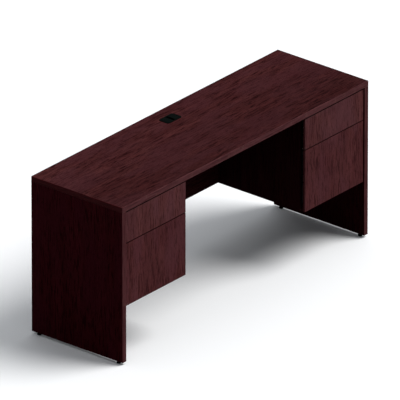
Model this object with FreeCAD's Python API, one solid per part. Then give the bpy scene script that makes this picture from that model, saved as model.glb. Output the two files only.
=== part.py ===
import FreeCAD
import Part
import os

os.makedirs("parts", exist_ok=True)

# A double-pedestal desk in laminated board. Millimetres, +X to the right, +Y to the back, +Z up.
# The origin is on the floor, under the middle of the top.

# Overall size, measured over the top panel and from the floor to its upper face
desk_width = 1676.4
desk_depth = 508.0
desk_height = 749.3

# Boards and edge bands
top_thickness = 25.4
gable_thickness = 25.4
modesty_thickness = 19.05
modesty_height = 453.6
case_board = 16.0
rail_width = 80.0
front_thickness = 19.0
drawer_board = 12.0
drawer_bottom_thickness = 6.0
band_thickness = 2.0
edge_radius = 1.0
drawer_edge_radius = 2.0

# Pedestal layout, seen from the front
front_width = 402.35
front_to_gable = 4.0
front_to_top = 6.0
front_gap = 3.0
box_front_height = 146.8
case_lip = 2.8

# Pedestal layout, from the front to the back
front_recess = 4.0
front_to_case = 2.0
finger_setback = 8.0
finger_rebate_depth = 9.0
finger_rebate_width = 22.0

# Drawer boxes
drawer_lift = 25.0
box_side_drop = 20.9
file_side_drop = 30.0
drawer_back_room = 19.0
groove_height = 10.0
groove_depth = 6.0
groove_clearance = 0.5
file_rail_wall = 1.5
file_rail_grip = 8.0
file_rail_fin = 14.0

# Telescopic slides
slide_width = 12.7
slide_height = 45.0
slide_gauge = 1.5
slide_flange = 9.0
slide_web_gap = 2.0
slide_running = 0.3
slide_inset = 3.0
slide_back_room = 30.0
slide_screw_shares = (0.1, 0.5, 0.9)

# Screws
screw_radius = 2.0
screw_head_radius = 3.8
screw_head_height = 1.3
screw_crown_share = 0.75
slide_screw_bite = 9.0
case_screw_radius = 2.5
case_screw_head_radius = 5.0
case_screw_head_height = 2.5
case_screw_bite = 14.0
case_screw_inset = 60.0
front_screw_bite = 12.0
front_screw_inset = 25.0

# Cam fittings and dowels
cam_radius = 7.5
cam_wall = 1.0
cam_reach = 34.0
cam_clearance = 0.3
cam_end_inset = 60.0
cam_slot_width = 2.0
cam_slot_depth = 2.0
bolt_radius = 3.0
bolt_head_radius = 3.5
bolt_head_length = 5.0
bolt_bite = 11.0
dowel_radius = 4.0
dowel_bite = 12.0
dowel_tail = 20.0
dowel_end_inset = 154.0
modesty_cam_offset = 300.0
modesty_dowel_offset = 550.0

# Levelling glides
glide_height = 12.7
glide_inset = 32.0
glide_pad_radius = 10.0
glide_pad_height = 5.0
glide_pad_round = 1.0
glide_neck_radius = 7.0
glide_shoulder_height = 3.0
glide_stem_radius = 4.0
glide_stem_length = 28.0
glide_running = 0.05
insert_radius = 6.0
insert_length = 30.0
insert_flange_radius = 10.0
insert_flange_thickness = 1.5
insert_end_room = 2.0

# Cable grommet
grommet_length = 95.0
grommet_width = 59.0
grommet_from_back = 91.0
grommet_left_of_middle = 9.0
grommet_lip_height = 2.0
grommet_lip_width = 4.5
grommet_lip_round = 0.8
grommet_corner = 12.0
sleeve_corner = 5.0
sleeve_clearance = 0.5
sleeve_rim = 2.0
sleeve_ledge = 2.0
flap_thickness = 3.0
flap_clearance = 0.4
flap_seat = 0.3
flap_pin_radius = 1.0
flap_pin_running = 0.05
flap_pin_length = 1.4
cable_slot = 14.0

# How far a cutting tool runs past a face, and how near counts as touching
overrun = 5.0
touch = 0.001

# Planes shared by several pieces
half_width = desk_width / 2
half_depth = desk_depth / 2
top_underside = desk_height - top_thickness
gable_inner = half_width - gable_thickness
gable_middle = half_width - gable_thickness / 2
modesty_front = half_depth - modesty_thickness
modesty_middle = half_depth - modesty_thickness / 2
modesty_bottom = top_underside - modesty_height
case_bottom = modesty_bottom

front_outer = gable_inner - front_to_gable
front_inner = front_outer - front_width
front_face = front_recess - half_depth
front_back = front_face + front_thickness
box_front_top = top_underside - front_to_top
box_front_bottom = box_front_top - box_front_height
file_front_top = box_front_bottom - front_gap
file_front_bottom = case_bottom + case_lip

case_low = front_inner + case_board
case_high = gable_inner - case_board
case_front = front_back + front_to_case
case_inner_front = case_front + finger_setback
case_back = modesty_front - case_board

drawer_low = case_low + slide_width
drawer_high = case_high - slide_width
drawer_end = case_back - drawer_back_room
slide_front = case_inner_front + slide_inset
slide_length = case_back - slide_back_room - slide_front

X = FreeCAD.Vector(1, 0, 0)
Y = FreeCAD.Vector(0, 1, 0)
Z = FreeCAD.Vector(0, 0, 1)


# Basic shapes

def block(x, y, z):
    corner = FreeCAD.Vector(x[0], y[0], z[0])
    return Part.makeBox(x[1] - x[0], y[1] - y[0], z[1] - z[0], corner)


def rod(start, along, length, radius):
    return Part.makeCylinder(radius, length, start, along)


def prism(outline, y):
    points = [FreeCAD.Vector(x, y[0], z) for x, z in outline]
    face = Part.Face(Part.makePolygon(points + points[:1]))
    return face.extrude(Y * (y[1] - y[0]))


def mirrored(shape):
    return shape.mirror(FreeCAD.Vector(), X)


def both_hands(shapes):
    return shapes + [mirrored(shape) for shape in shapes]


def edges_on(shape, axis, value):
    def on_plane(edge):
        return all(abs(vertex.Point[axis] - value) < touch for vertex in edge.Vertexes)

    return [edge for edge in shape.Edges if on_plane(edge)]


def long_edges_on(shape, axis, value):
    edges = edges_on(shape, axis, value)
    longest = max(edge.Length for edge in edges)
    return [edge for edge in edges if edge.Length > longest - touch]


def save(name, shapes):
    solids = [solid for shape in shapes for solid in shape.Solids]
    piece = solids[0] if len(solids) == 1 else Part.makeCompound(solids)
    piece.exportStep("parts/" + name + ".step")


def save_pair(name, shapes):
    save("right_" + name, shapes)
    save("left_" + name, [mirrored(shape) for shape in shapes])


# Fasteners

def screw(seat, along, bite, radius, head_radius, head_height):
    shank = rod(seat, along, bite, radius)
    head = Part.makeCone(head_radius, head_radius * screw_crown_share, head_height, seat, along * -1)
    return shank.fuse(head).removeSplitter()


def small_screw(seat, along, bite):
    return screw(seat, along, bite, screw_radius, screw_head_radius, screw_head_height)


def case_screw(seat, along):
    bite = case_board + case_screw_bite
    return screw(seat, along, bite, case_screw_radius, case_screw_head_radius, case_screw_head_height)


# A cam fitting: the bolt is screwed into one board at the meeting point, and the disc in the other board's
# face grips its head. to_face runs from the bolt's axis to that face.
def cam_fitting(meeting, along, to_face, face_distance):
    centre = meeting - along * cam_reach
    depth = face_distance + bolt_head_radius + cam_wall
    mouth = centre + to_face * face_distance
    pocket = rod(mouth, to_face * -1, depth, cam_radius)
    channel = rod(meeting, along * -1, cam_reach, bolt_radius + cam_clearance)

    head_start = centre - along * (bolt_head_length / 2)
    head = rod(head_start, along, bolt_head_length, bolt_head_radius)
    shank = rod(centre, along, cam_reach + bolt_bite, bolt_radius)
    bolt = head.fuse(shank).removeSplitter()

    grip_start = head_start - along * cam_clearance
    grip = rod(grip_start, along, cam_radius + bolt_head_length, bolt_head_radius + cam_clearance)
    across = along.cross(to_face)
    slot_corner = mouth - along * cam_radius - across * (cam_slot_width / 2) - to_face * cam_slot_depth
    slot_end = mouth + along * cam_radius + across * (cam_slot_width / 2) + to_face * overrun
    spans = [sorted(pair) for pair in zip(slot_corner, slot_end)]
    disc = pocket.cut([grip, block(*spans)])
    return {"disc": disc, "bolt": bolt, "pocket": pocket, "channel": channel}


def gable_cams():
    places = (cam_end_inset - half_depth, 0, half_depth - cam_end_inset)
    meetings = [FreeCAD.Vector(gable_middle, y, top_underside) for y in places]
    return [cam_fitting(meeting, Z, X * -1, gable_thickness / 2) for meeting in meetings]


def modesty_gable_cams():
    heights = (modesty_bottom + cam_end_inset, top_underside - cam_end_inset)
    meetings = [FreeCAD.Vector(gable_inner, modesty_middle, z) for z in heights]
    return [cam_fitting(meeting, X, Y * -1, modesty_thickness / 2) for meeting in meetings]


def modesty_top_cam():
    meeting = FreeCAD.Vector(modesty_cam_offset, modesty_middle, top_underside)
    return cam_fitting(meeting, Z, Y * -1, modesty_thickness / 2)


def dowel(x, y):
    start = FreeCAD.Vector(x, y, top_underside - dowel_tail)
    return rod(start, Z, dowel_tail + dowel_bite, dowel_radius)


# Levelling glides and the inserts that they screw into

def glide(y):
    seat = glide_height - insert_flange_thickness
    shoulder = glide_pad_height + glide_shoulder_height
    base = FreeCAD.Vector(gable_middle, y, 0)
    pad = rod(base, Z, glide_pad_height, glide_pad_radius)
    pad = pad.makeFillet(glide_pad_round, edges_on(pad, 2, 0))
    cone_base = base + Z * glide_pad_height
    cone = Part.makeCone(glide_pad_radius, glide_neck_radius, glide_shoulder_height, cone_base, Z)
    neck = rod(base + Z * shoulder, Z, seat - shoulder, glide_neck_radius)
    stem = rod(base + Z * seat, Z, glide_stem_length, glide_stem_radius)
    return pad.fuse([cone, neck, stem]).removeSplitter()


def glide_insert(y):
    under = FreeCAD.Vector(gable_middle, y, glide_height - insert_flange_thickness)
    flange = rod(under, Z, insert_flange_thickness, insert_flange_radius)
    barrel = rod(under, Z, insert_flange_thickness + insert_length, insert_radius)
    bore = rod(under, Z, insert_flange_thickness + insert_length, glide_stem_radius + glide_running)
    return flange.fuse(barrel).removeSplitter().cut(bore)


def insert_hole(y):
    mouth = FreeCAD.Vector(gable_middle, y, glide_height)
    return rod(mouth, Z, insert_length + insert_end_room, insert_radius)


# Cable grommet: a liner with a lip, and two flaps that meet at a cable slot

grommet_y = half_depth - grommet_from_back
lip_top = desk_height + grommet_lip_height
sleeve_length = grommet_length - 2 * grommet_lip_width
sleeve_width = grommet_width - 2 * grommet_lip_width
recess_length = sleeve_length - 2 * sleeve_rim
recess_width = sleeve_width - 2 * sleeve_rim
recess_floor = lip_top - flap_thickness - flap_seat
hinge_x = recess_length / 2 - flap_clearance - flap_thickness / 2
hinge_z = lip_top - flap_thickness / 2


def grommet_block(length, width, z):
    return block((-length / 2, length / 2), (grommet_y - width / 2, grommet_y + width / 2), z)


def rounded_block(length, width, z, corner):
    plate = grommet_block(length, width, z)
    upright = [edge for edge in plate.Edges if edge.BoundBox.ZLength > touch]
    return plate.makeFillet(corner, upright)


def at_grommet(shape):
    return shape.translated(X * -grommet_left_of_middle)


def flap_pins(radius, length):
    face = recess_width / 2 - flap_clearance
    pins = []
    for side in (-1, 1):
        root = FreeCAD.Vector(hinge_x, grommet_y + side * face, hinge_z)
        pins.append(rod(root, Y * side, flap_clearance + length, radius))
    return pins


def grommet_hole():
    length = sleeve_length + 2 * sleeve_clearance
    width = sleeve_width + 2 * sleeve_clearance
    height = (top_underside - overrun, desk_height + overrun)
    return rounded_block(length, width, height, sleeve_corner + sleeve_clearance)


def grommet_liner():
    lip = rounded_block(grommet_length, grommet_width, (desk_height, lip_top), grommet_corner)
    lip = lip.makeFillet(grommet_lip_round, edges_on(lip, 2, lip_top))
    sleeve = rounded_block(sleeve_length, sleeve_width, (top_underside, desk_height), sleeve_corner)
    recess = grommet_block(recess_length, recess_width, (recess_floor, lip_top + overrun))
    throat_length = recess_length - 2 * sleeve_ledge
    throat_width = recess_width - 2 * sleeve_ledge
    throat = grommet_block(throat_length, throat_width, (top_underside - overrun, lip_top))
    sockets = flap_pins(flap_pin_radius + flap_pin_running, flap_pin_length + flap_clearance)
    return lip.fuse(sleeve).removeSplitter().cut([recess, throat] + both_hands(sockets))


def grommet_flap():
    half = recess_width / 2 - flap_clearance
    across = (grommet_y - half, grommet_y + half)
    leaf = block((cable_slot / 2, hinge_x), across, (lip_top - flap_thickness, lip_top))
    nose = rod(FreeCAD.Vector(hinge_x, across[0], hinge_z), Y, across[1] - across[0], flap_thickness / 2)
    return leaf.fuse([nose] + flap_pins(flap_pin_radius, flap_pin_length)).removeSplitter()


# Edge bands

def top_bands():
    outer = block((-half_width, half_width), (-half_depth, half_depth), (top_underside, desk_height))
    ring = outer.makeFillet(edge_radius, outer.Edges).cut(top_core())
    height = (top_underside, desk_height)
    strips = []
    for side in (-1, 1):
        edge = sorted((side * half_depth, side * (half_depth - band_thickness)))
        strips.append(ring.common(block((-half_width, half_width), edge, height)))
    inner_depth = half_depth - band_thickness
    for side in (-1, 1):
        edge = sorted((side * half_width, side * (half_width - band_thickness)))
        strips.append(ring.common(block(edge, (-inner_depth, inner_depth), height)))
    return strips


def gable_bands():
    strips = []
    for side in (-1, 1):
        edge = sorted((side * half_depth, side * (half_depth - band_thickness)))
        strip = block((gable_inner, half_width), edge, (glide_height, top_underside))
        strips.append(strip.makeFillet(edge_radius, long_edges_on(strip, 1, side * half_depth)))
    return strips


def modesty_band():
    height = (modesty_bottom, modesty_bottom + band_thickness)
    strip = block((-gable_inner, gable_inner), (modesty_front, half_depth), height)
    return strip.makeFillet(edge_radius, long_edges_on(strip, 2, modesty_bottom))


# Main panels

def top_core():
    reach = half_width - band_thickness
    depth = half_depth - band_thickness
    return block((-reach, reach), (-depth, depth), (top_underside, desk_height))


def gable_core():
    depth = half_depth - band_thickness
    return block((gable_inner, half_width), (-depth, depth), (glide_height, top_underside))


def modesty_core():
    height = (modesty_bottom + band_thickness, top_underside)
    return block((-gable_inner, gable_inner), (modesty_front, half_depth), height)


# Pedestal case, for the right-hand side

def case_screws_to_gable(slide_heights):
    rows = (case_bottom + case_screw_inset, sum(slide_heights) / len(slide_heights))
    columns = (case_inner_front + case_screw_inset, case_back - case_screw_inset)
    seats = [FreeCAD.Vector(case_high, y, z) for z in rows for y in columns]
    return [case_screw(seat, X) for seat in seats]


def rail_spans():
    front = (case_inner_front, case_inner_front + rail_width)
    back = (case_back - rail_width, case_back)
    return front, back


def case_screws_to_top():
    columns = (case_low + case_screw_inset, case_high - case_screw_inset)
    rows = [(span[0] + span[1]) / 2 for span in rail_spans()]
    seats = [FreeCAD.Vector(x, y, top_underside - case_board) for x in columns for y in rows]
    return [case_screw(seat, Z) for seat in seats]


def case_rails():
    height = (top_underside - case_board, top_underside)
    return [block((case_low, case_high), span, height) for span in rail_spans()]


# Telescopic slides, one pair per drawer. Distances are from the case wall towards the drawer.

slide_walls = ((case_low, 1), (case_high, -1))
slide_span = (slide_front, slide_front + slide_length)
middle_web = slide_gauge + slide_web_gap
middle_half = slide_height / 2 - slide_gauge - slide_running
inner_half = middle_half - slide_gauge - slide_running
inner_rim = middle_web + slide_gauge + slide_web_gap


def channel(wall, inward, web, rim, half, centre):
    fold = web + slide_gauge if rim > web else web - slide_gauge
    inside = half - slide_gauge
    lower = [(web, -half), (rim, -half), (rim, -inside), (fold, -inside)]
    upper = [(distance, -rise) for distance, rise in reversed(lower)]
    outline = [(wall + inward * distance, centre + rise) for distance, rise in lower + upper]
    return prism(outline, slide_span)


def slide_screw_places(wall, inward, distance, centre):
    x = wall + inward * distance
    return [FreeCAD.Vector(x, slide_front + share * slide_length, centre) for share in slide_screw_shares]


def slide_set(centre):
    parts = {name: [] for name in ("outers", "middles", "inners", "case_screws", "drawer_screws")}
    parts["centre"] = centre
    bite = slide_gauge + slide_screw_bite
    for wall, inward in slide_walls:
        seats = slide_screw_places(wall, inward, slide_gauge, centre)
        case_side = [small_screw(seat, X * -inward, bite) for seat in seats]
        seats = slide_screw_places(wall, inward, slide_width - slide_gauge, centre)
        drawer_side = [small_screw(seat, X * inward, bite) for seat in seats]
        outer = channel(wall, inward, 0, slide_flange, slide_height / 2, centre)
        middle = channel(wall, inward, middle_web, slide_width - slide_web_gap, middle_half, centre)
        inner = channel(wall, inward, slide_width, inner_rim, inner_half, centre)
        parts["outers"].append(outer.cut(case_side))
        parts["middles"].append(middle)
        parts["inners"].append(inner.cut(drawer_side))
        parts["case_screws"] += case_side
        parts["drawer_screws"] += drawer_side
    return parts


# Drawers, for the right-hand side

def drawer_front(bottom, top):
    panel = block((front_inner, front_outer), (front_face, front_back), (bottom, top))
    panel = panel.makeFillet(edge_radius, edges_on(panel, 1, front_face))
    rebate_x = (front_inner - overrun, front_inner + finger_rebate_width)
    rebate_y = (front_back - finger_rebate_depth, front_back + overrun)
    return panel.cut(block(rebate_x, rebate_y, (bottom - overrun, top + overrun)))


def front_screws(low, high):
    edge = drawer_board + front_screw_inset
    columns = (drawer_low + edge, drawer_high - edge)
    rows = (low + front_screw_inset, high - front_screw_inset)
    seats = [FreeCAD.Vector(x, front_back + drawer_board, z) for x in columns for z in rows]
    return [small_screw(seat, Y * -1, drawer_board + front_screw_bite) for seat in seats]


def file_rails(top):
    grip = (drawer_low - file_rail_wall, drawer_low, drawer_low + drawer_board)
    fin = grip[2] + file_rail_wall
    foot = top - file_rail_grip
    outline = [(grip[0], foot), (grip[1], foot), (grip[1], top), (grip[2], top), (grip[2], foot)]
    outline += [(fin, foot), (fin, top + file_rail_fin), (grip[2], top + file_rail_fin)]
    outline += [(grip[2], top + file_rail_wall), (grip[0], top + file_rail_wall)]
    opposite = [(drawer_low + drawer_high - x, z) for x, z in outline]
    span = (front_back + drawer_board, drawer_end - drawer_board)
    return [prism(outline, span), prism(opposite, span)]


def drawer(front_bottom, front_top, side_drop):
    low = front_bottom + drawer_lift
    high = front_top - side_drop
    inside_x = (drawer_low + drawer_board, drawer_high - drawer_board)
    inside_y = (front_back + drawer_board, drawer_end - drawer_board)
    floor_z = (low + groove_height, low + groove_height + drawer_bottom_thickness)

    groove = block(
        (inside_x[0] - groove_depth, inside_x[1] + groove_depth),
        (inside_y[0] - groove_depth, inside_y[1] + groove_depth),
        floor_z,
    )
    reach = groove_depth - groove_clearance
    floor = block(
        (inside_x[0] - reach, inside_x[1] + reach),
        (inside_y[0] - reach, inside_y[1] + reach),
        floor_z,
    )

    slides = slide_set((low + high) / 2)
    fixings = front_screws(low + groove_height + drawer_bottom_thickness, high)
    screws = fixings + slides["drawer_screws"]
    side_spans = ((drawer_low, inside_x[0]), (inside_x[1], drawer_high))
    end_spans = ((front_back, inside_y[0]), (inside_y[1], drawer_end))
    sides = [block(span, (front_back, drawer_end), (low, high)) for span in side_spans]
    ends = [block(inside_x, span, (low, high)) for span in end_spans]
    boards = []
    for board in sides + ends:
        eased = board.makeFillet(drawer_edge_radius, long_edges_on(board, 2, high))
        boards.append(eased.cut([groove] + screws))

    return {
        "front": [drawer_front(front_bottom, front_top).cut(fixings)],
        "box_sides": boards[:2],
        "box_ends": boards[2:],
        "bottom": [floor],
        "screws": screws,
        "slide_inners": slides["inners"],
        "slide_middles": slides["middles"],
    }, slides


box_drawer, box_slides = drawer(box_front_bottom, box_front_top, box_side_drop)
file_drawer, file_slides = drawer(file_front_bottom, file_front_top, file_side_drop)
file_drawer["hanging_rails"] = file_rails(file_front_top - file_side_drop)

for kind, pieces in (("box", box_drawer), ("file", file_drawer)):
    for name, shapes in pieces.items():
        save_pair(kind + "_drawer_" + name, shapes)

# Case boards, drilled for their screws
slide_screws = box_slides["case_screws"] + file_slides["case_screws"]
gable_screws = case_screws_to_gable((box_slides["centre"], file_slides["centre"]))
top_screws = case_screws_to_top()
side_height = (case_bottom, top_underside)
outer_side = block((case_high, gable_inner), (case_front, modesty_front), side_height)
inner_side = block((front_inner, case_low), (case_inner_front, modesty_front), side_height)
back_board = block((case_low, case_high), (case_back, modesty_front), side_height)
bottom_height = (case_bottom, case_bottom + case_board)
bottom_board = block((case_low, case_high), (case_front, case_back), bottom_height)

save_pair("case_outer_side", [outer_side.cut(slide_screws + gable_screws)])
save_pair("case_inner_side", [inner_side.cut(slide_screws)])
save_pair("case_back", [back_board])
save_pair("case_bottom", [bottom_board])
save_pair("case_top_rails", [rail.cut(top_screws) for rail in case_rails()])
save_pair("slide_outers", box_slides["outers"] + file_slides["outers"])
save("slide_screws", both_hands(slide_screws))
save("case_screws", both_hands(gable_screws + top_screws))

# Main panels, drilled for the fittings that join them
top_joints = gable_cams()
side_joints = modesty_gable_cams()
back_joint = modesty_top_cam()
fittings = top_joints + side_joints + [back_joint]
gable_dowels = [dowel(gable_middle, side * (half_depth - dowel_end_inset)) for side in (-1, 1)]
modesty_dowels = [dowel(modesty_dowel_offset, modesty_middle)]
glide_rows = [("front", glide_inset - half_depth), ("back", half_depth - glide_inset)]

gable_tools = gable_screws + gable_dowels + [insert_hole(y) for row, y in glide_rows]
gable_tools += [fitting[tool] for fitting in top_joints for tool in ("pocket", "channel")]
gable_tools += [fitting["bolt"] for fitting in side_joints]
modesty_tools = list(modesty_dowels)
modesty_tools += [fitting[tool] for fitting in side_joints + [back_joint] for tool in ("pocket", "channel")]
top_tools = top_screws + gable_dowels + modesty_dowels
top_tools += [fitting["bolt"] for fitting in top_joints + [back_joint]]

save("top_panel", [top_core().cut(both_hands(top_tools) + [at_grommet(grommet_hole())])])
save_pair("gable", [gable_core().cut(gable_tools)])
save("modesty_panel", [modesty_core().cut(both_hands(modesty_tools))])
save("edge_bands", top_bands() + both_hands(gable_bands()) + [modesty_band()])
save("cam_discs", both_hands([fitting["disc"] for fitting in fittings]))
save("cam_bolts", both_hands([fitting["bolt"] for fitting in fittings]))
save("dowels", both_hands(gable_dowels + modesty_dowels))

# Glides and grommet
save("glide_inserts", both_hands([glide_insert(y) for row, y in glide_rows]))
for row, y in glide_rows:
    save(row + "_right_glide", [glide(y)])
    save(row + "_left_glide", [mirrored(glide(y))])
save("grommet_liner", [at_grommet(grommet_liner())])
save("right_grommet_flap", [at_grommet(grommet_flap())])
save("left_grommet_flap", [at_grommet(mirrored(grommet_flap()))])
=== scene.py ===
import math

import bpy
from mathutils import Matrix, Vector


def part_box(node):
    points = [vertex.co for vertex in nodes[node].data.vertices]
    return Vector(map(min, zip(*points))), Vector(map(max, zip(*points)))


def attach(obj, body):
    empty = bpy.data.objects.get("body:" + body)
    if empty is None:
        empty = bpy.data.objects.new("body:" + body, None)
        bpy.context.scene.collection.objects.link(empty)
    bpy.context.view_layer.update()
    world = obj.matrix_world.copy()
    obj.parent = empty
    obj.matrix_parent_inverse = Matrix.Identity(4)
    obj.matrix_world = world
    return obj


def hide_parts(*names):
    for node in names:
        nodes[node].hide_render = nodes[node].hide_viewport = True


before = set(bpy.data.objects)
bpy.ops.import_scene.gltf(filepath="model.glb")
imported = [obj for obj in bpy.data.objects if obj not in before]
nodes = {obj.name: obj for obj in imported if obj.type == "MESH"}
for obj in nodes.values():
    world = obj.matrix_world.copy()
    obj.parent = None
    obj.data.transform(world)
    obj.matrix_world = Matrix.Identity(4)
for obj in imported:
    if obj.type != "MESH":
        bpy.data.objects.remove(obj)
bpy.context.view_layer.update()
sides = ("left", "right")
kinds = ("box", "file")
drawers = [side + "_" + kind + "_drawer" for side in sides for kind in kinds]
glides = [row + "_" + side + "_glide" for row in ("front", "back") for side in sides]
print("frame loaded:", len(nodes), "nodes")


def wear(nodeNames, material):
    for name in nodeNames:
        nodes[name].data.materials.clear()
        nodes[name].data.materials.append(material)


# small helpers for shaders

def srgb(red, green, blue):
    shares = [value / 255 for value in (red, green, blue)]
    return tuple(s / 12.92 if s < 0.04045 else ((s + 0.055) / 1.055) ** 2.4 for s in shares) + (1.0,)


class Wire:
    # a socket of a node tree; arithmetic on it adds Math nodes
    def __init__(self, finish, socket):
        self.finish = finish
        self.socket = socket

    def sums(self, operation, first, second=0.0):
        return self.finish.node("ShaderNodeMath", {"operation": operation}, {0: first, 1: second})

    def __add__(self, other):
        return self.sums("ADD", self, other)

    def __sub__(self, other):
        return self.sums("SUBTRACT", self, other)

    def __rsub__(self, other):
        return self.sums("SUBTRACT", other, self)

    def __mul__(self, other):
        return self.sums("MULTIPLY", self, other)

    def __pow__(self, other):
        return self.sums("POWER", self, other)

    def __abs__(self):
        return self.sums("ABSOLUTE", self)

    __radd__ = __add__
    __rmul__ = __mul__

    def least(self, other):
        return self.sums("MINIMUM", self, other)

    def most(self, other):
        return self.sums("MAXIMUM", self, other)


class Finish:
    # one procedural material on Object coordinates
    def __init__(self, name="", tree=None):
        self.tree = tree  # the world brings its own
        if tree is None:
            self.material = bpy.data.materials.new(name)
            self.material.use_nodes = True
            self.tree = self.material.node_tree
            self.shader = self.tree.nodes["Principled BSDF"]
            self.place = self.node("ShaderNodeTexCoord", out="Object")

    def plug(self, socket, value):
        # a wire is linked, anything else becomes the socket's own value
        if isinstance(value, Wire):
            self.tree.links.new(value.socket, socket)
        else:
            socket.default_value = value

    def node(self, kind, settings=None, inputs=None, out=0):
        made = self.tree.nodes.new(kind)
        for key, value in (settings or {}).items():
            setattr(made, key, value)
        for key, value in (inputs or {}).items():
            self.plug(made.inputs[key], value)
        return Wire(self, made.outputs[out])

    def feed(self, values):
        for key, value in values.items():
            self.plug(self.shader.inputs[key], value)

    def stretched(self, place, scale, shift=(0.0, 0.0, 0.0)):
        return self.node("ShaderNodeMapping", None, {"Vector": place, "Scale": scale, "Location": shift})

    def noise(self, place, scale=1.0, detail=2.0, out=0):
        return self.node("ShaderNodeTexNoise", None, {"Vector": place, "Scale": scale, "Detail": detail}, out)

    def ramp(self, value, low, high, toLow=0.0, toHigh=1.0):
        settings = {"interpolation_type": "SMOOTHSTEP"}
        return self.node("ShaderNodeMapRange", settings, {0: value, 1: low, 2: high, 3: toLow, 4: toHigh})

    def mix(self, factor, first, second):
        return self.node("ShaderNodeMix", {"data_type": "RGBA"}, {0: factor, 6: first, 7: second}, 2)

    def vector(self, operation, first, second=(0.0, 0.0, 0.0)):
        return self.node("ShaderNodeVectorMath", {"operation": operation}, {0: first, 1: second})

    def tinted(self, colour, tint):
        return self.vector("MULTIPLY", colour, tint)

    def tintedWhere(self, share, colour, tint):
        return self.mix(share, colour, self.tinted(colour, tint))

    def parts(self, vector):
        split = self.node("ShaderNodeSeparateXYZ", None, {0: vector})
        return [Wire(self, socket) for socket in split.socket.node.outputs]

    def bump(self, height, values):
        strength, distance = values["reliefStrength"], values["reliefDistance"]
        inputs = {"Height": height, "Strength": strength, "Distance": distance}
        return self.node("ShaderNodeBump", None, inputs)

    def shownRays(self):
        # 1 for the rays that show a white background: the camera's, and those off metal or through glass
        path = self.node("ShaderNodeLightPath").socket.node.outputs
        rayKinds = ("Camera", "Glossy", "Transmission")
        camera, glossy, through = (Wire(self, path["Is %s Ray" % kind]) for kind in rayKinds)
        return (camera + glossy + through).least(1.0)

    def margins(self, low, high):
        # how far a point of a board lies inside its faces, along x, y and z
        centre = tuple((a + b) / 2 for a, b in zip(low, high))
        half = tuple((b - a) / 2 for a, b in zip(low, high))
        reach = self.vector("ABSOLUTE", self.vector("SUBTRACT", self.place, centre))
        return self.parts(self.vector("SUBTRACT", half, reach))


# mahogany laminate on board; each range says where a pattern begins to show and where it shows fully

laminate = {
    "base": srgb(78, 34, 36),
    "deep": srgb(64, 23, 25),
    "plum": srgb(71, 31, 37),
    "streak": srgb(38, 2, 4),
    "fleck": srgb(26, 1, 3),
    "seam": srgb(22, 6, 8),
    "scuff": srgb(92, 52, 48),
    "sheetReach": 7.3,
    "sheetStep": 1.7,
    "wander": 0.012,
    "wanderLength": 0.16,
    "wanderWidth": 0.045,
    "ribbonLength": 0.50,
    "ribbonWidth": 0.040,
    "ribbonRange": (0.32, 0.68),
    "patchLength": 0.26,
    "patchWidth": 0.075,
    "patchRange": (0.34, 0.60),
    "patchLeast": 0.45,
    "plumRange": (0.62, 0.38),
    "plumStrength": 0.7,
    "clusterRange": (0.46, 0.66),
    "clusterStrength": 0.52,
    "clusterRough": 0.05,
    "poreLength": 0.020,
    "poreWidth": 0.0011,
    "poreLift": 0.17,
    "poreRange": (0.58, 0.67),
    "fleckStrength": 0.56,
    "fleckRough": 0.12,
    "fleckDepth": 0.8,
    "hairLength": 0.060,
    "hairWidth": 0.0007,
    "hairRange": (0.50, 0.74),
    "hairStrength": 0.22,
    "seamWidth": 0.0004,
    "seamStrength": 0.75,
    "bandWidth": 0.0011,
    "glueWidth": 0.0003,
    "glueSoft": 0.0002,
    "glueStrength": 0.55,
    "chipScale": 55.0,
    "chipRange": (0.50, 0.66),
    "scuffReach": (0.0010, 0.0002),
    "scuffStrength": 0.5,
    "gloss": 0.46,
    "smudgeScale": 9.0,
    "smudgeRange": (0.35, 0.75),
    "smudgeRough": 0.07,
    "gritScale": 2600.0,
    "gritHeight": 0.35,
    "reliefStrength": 0.30,
    "reliefDistance": 0.00012,
}


def along(axis, length, width):
    # scales that stretch a pattern along the grain
    return tuple(1 / length if place == axis else 1 / width for place in range(3))


def sheetShift(node):
    # every board is cut from another place of the sheet
    seed = sum(map(ord, node))
    turns = [math.sin(laminate["sheetStep"] * place + seed) for place in (1, 2, 3)]
    return tuple(round(laminate["sheetReach"] * turn, 3) for turn in turns)


def laminateGrain(finish, axis, shift, look):
    # clusters of dark vessels, each made of fine flecks, on a ribboned ground
    values = laminate
    slack = tuple(0.0 if place == axis else values["wander"] for place in range(3))
    wander = finish.stretched(finish.place, along(axis, values["wanderLength"], values["wanderWidth"]), shift)
    drift = finish.vector("SUBTRACT", finish.noise(wander, detail=1.0, out=1), (0.5, 0.5, 0.5))
    place = finish.vector("ADD", finish.place, finish.vector("MULTIPLY", drift, slack))

    def pattern(length, width, detail):
        return finish.noise(finish.stretched(place, along(axis, length, width), shift), detail=detail)

    ribbon = pattern(values["ribbonLength"], values["ribbonWidth"], detail=2.0)
    patch = pattern(values["patchLength"], values["patchWidth"], detail=1.5)
    streak = pattern(look["streakLength"], look["streakWidth"], detail=2.5)
    pore = pattern(values["poreLength"], values["poreWidth"], detail=1.0)
    hair = pattern(values["hairLength"], values["hairWidth"], detail=2.0)

    clusters = finish.ramp(streak, *values["clusterRange"])
    clusters = clusters * finish.ramp(patch, *values["patchRange"], toLow=values["patchLeast"])
    flecks = finish.ramp(pore + clusters * values["poreLift"], *values["poreRange"])
    clusterShare = min(1.0, values["clusterStrength"] * look["depth"])
    fleckShare = min(1.0, values["fleckStrength"] * look["depth"])
    colour = finish.mix(finish.ramp(ribbon, *values["ribbonRange"]), values["base"], values["deep"])
    plums = finish.ramp(patch, *values["plumRange"]) * values["plumStrength"]
    colour = finish.mix(plums, colour, values["plum"])
    hairs = finish.ramp(hair, *values["hairRange"]) * values["hairStrength"]
    colour = finish.mix(hairs, colour, values["streak"])
    colour = finish.mix(clusters * clusterShare, colour, values["streak"])
    colour = finish.mix(flecks * fleckShare, colour, values["fleck"])
    return colour, clusters, flecks


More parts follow.
